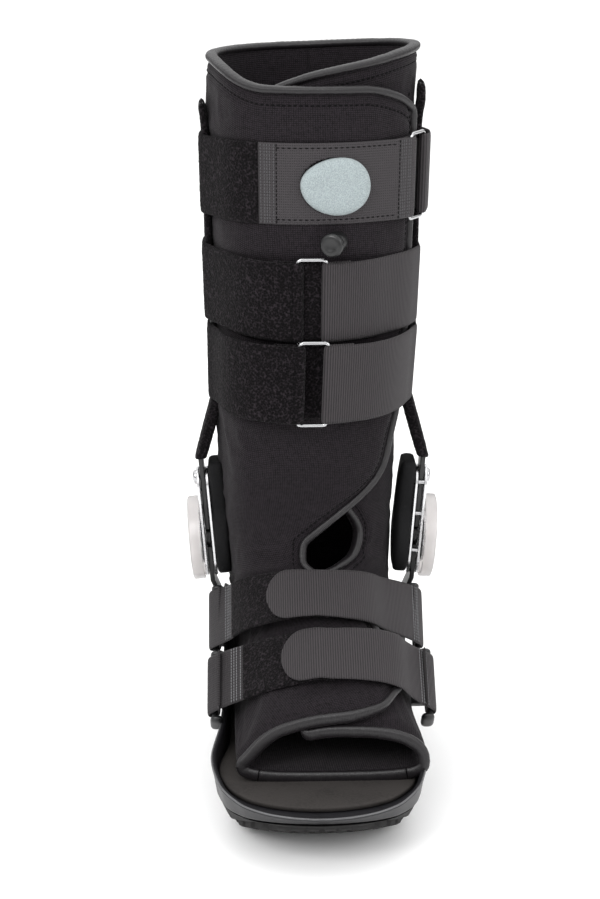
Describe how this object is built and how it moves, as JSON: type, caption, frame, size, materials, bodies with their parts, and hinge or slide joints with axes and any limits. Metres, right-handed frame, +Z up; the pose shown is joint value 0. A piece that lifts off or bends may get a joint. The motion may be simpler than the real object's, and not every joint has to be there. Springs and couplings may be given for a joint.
{
  "type": "pneumatic walker boot",
  "caption": "Tall ankle walker boot: padded wrap liner with air pump, rocker sole in a plastic shell, hinged side uprights, calf straps with steel rings and foot straps.",
  "frame": {"origin": "on the ground, under the centre of the bounding box's bottom face", "axes": "+Z up the leg, -Y towards the toe, +X to the right as seen from the toe side"},
  "size_m": [0.16, 0.278, 0.4479],
  "materials": {
    "shell_plastic": "moulded satin",
    "insole_foam": "matt closed-cell foam",
    "outsole_rubber": "matt rubber",
    "knit_liner": "fine knit over foam",
    "satin_binding": "satin tape",
    "loop_pile": "fuzzy loop pile",
    "ribbed_tape": "fine ribbed weave",
    "pump_foam": "speckled brushed foam",
    "steel_wire": "bright plated wire",
    "black_plastic": "moulded",
    "black_bar": "black coated bar",
    "hinge_steel": "brushed",
    "clear_cover": "milky clear moulding",
    "pad_foam": "laminated foam",
    "valve_rubber": "satin rubber"
  },
  "bodies": {
    "boot": {"sole_shell": "shell_plastic", "insole": "insole_foam", "outsole": "outsole_rubber", "liner_left_shank": "knit_liner", "liner_left_foot": "knit_liner", "liner_right_shank": "knit_liner", "liner_right_foot": "knit_liner", "liner_sole": "knit_liner", "binding_left": "satin_binding", "binding_right": "satin_binding", "binding_sole": "satin_binding", "top_strap_pile": "loop_pile", "top_strap_panel": "ribbed_tape", "top_strap_tail": "ribbed_tape", "top_strap_ring": "steel_wire", "pump_bulb": "pump_foam", "mid_strap_pile": "loop_pile", "mid_strap_tail": "ribbed_tape", "mid_strap_ring": "steel_wire", "low_strap_pile": "loop_pile", "low_strap_tail": "ribbed_tape", "low_strap_ring": "steel_wire", "instep_strap_pile": "loop_pile", "instep_strap_tab": "ribbed_tape", "instep_strap_loop_left": "black_plastic", "instep_strap_loop_right": "black_plastic", "toe_strap_pile": "loop_pile", "toe_strap_tab": "ribbed_tape", "toe_strap_loop_left": "black_plastic", "toe_strap_loop_right": "black_plastic", "upright_upper_left": "black_bar", "upright_upper_right": "black_bar", "upright_lower_left": "black_bar", "upright_lower_right": "black_bar", "upright_sleeve_left": "loop_pile", "upright_sleeve_right": "loop_pile", "hinge_inner_plate_left": "hinge_steel", "hinge_inner_plate_right": "hinge_steel", "hinge_outer_plate_left": "hinge_steel", "hinge_outer_plate_right": "hinge_steel", "hinge_dial_left": "hinge_steel", "hinge_dial_right": "hinge_steel", "dial_cover_left": "clear_cover", "dial_cover_right": "clear_cover", "top_rivet_left": "hinge_steel", "top_rivet_right": "hinge_steel", "condyle_pad_left": "pad_foam", "condyle_pad_right": "pad_foam", "valve_seat": "valve_rubber"},
    "valve_button": {"valve_button": "valve_rubber"}
  },
  "joints": [
    {"name": "valve_press", "type": "slide", "parent": "boot", "child": "valve_button", "axis": [0.3746, 0.9272, 0], "range_m": [0, 0.002], "stiffness_N_per_m": 400}
  ]
}
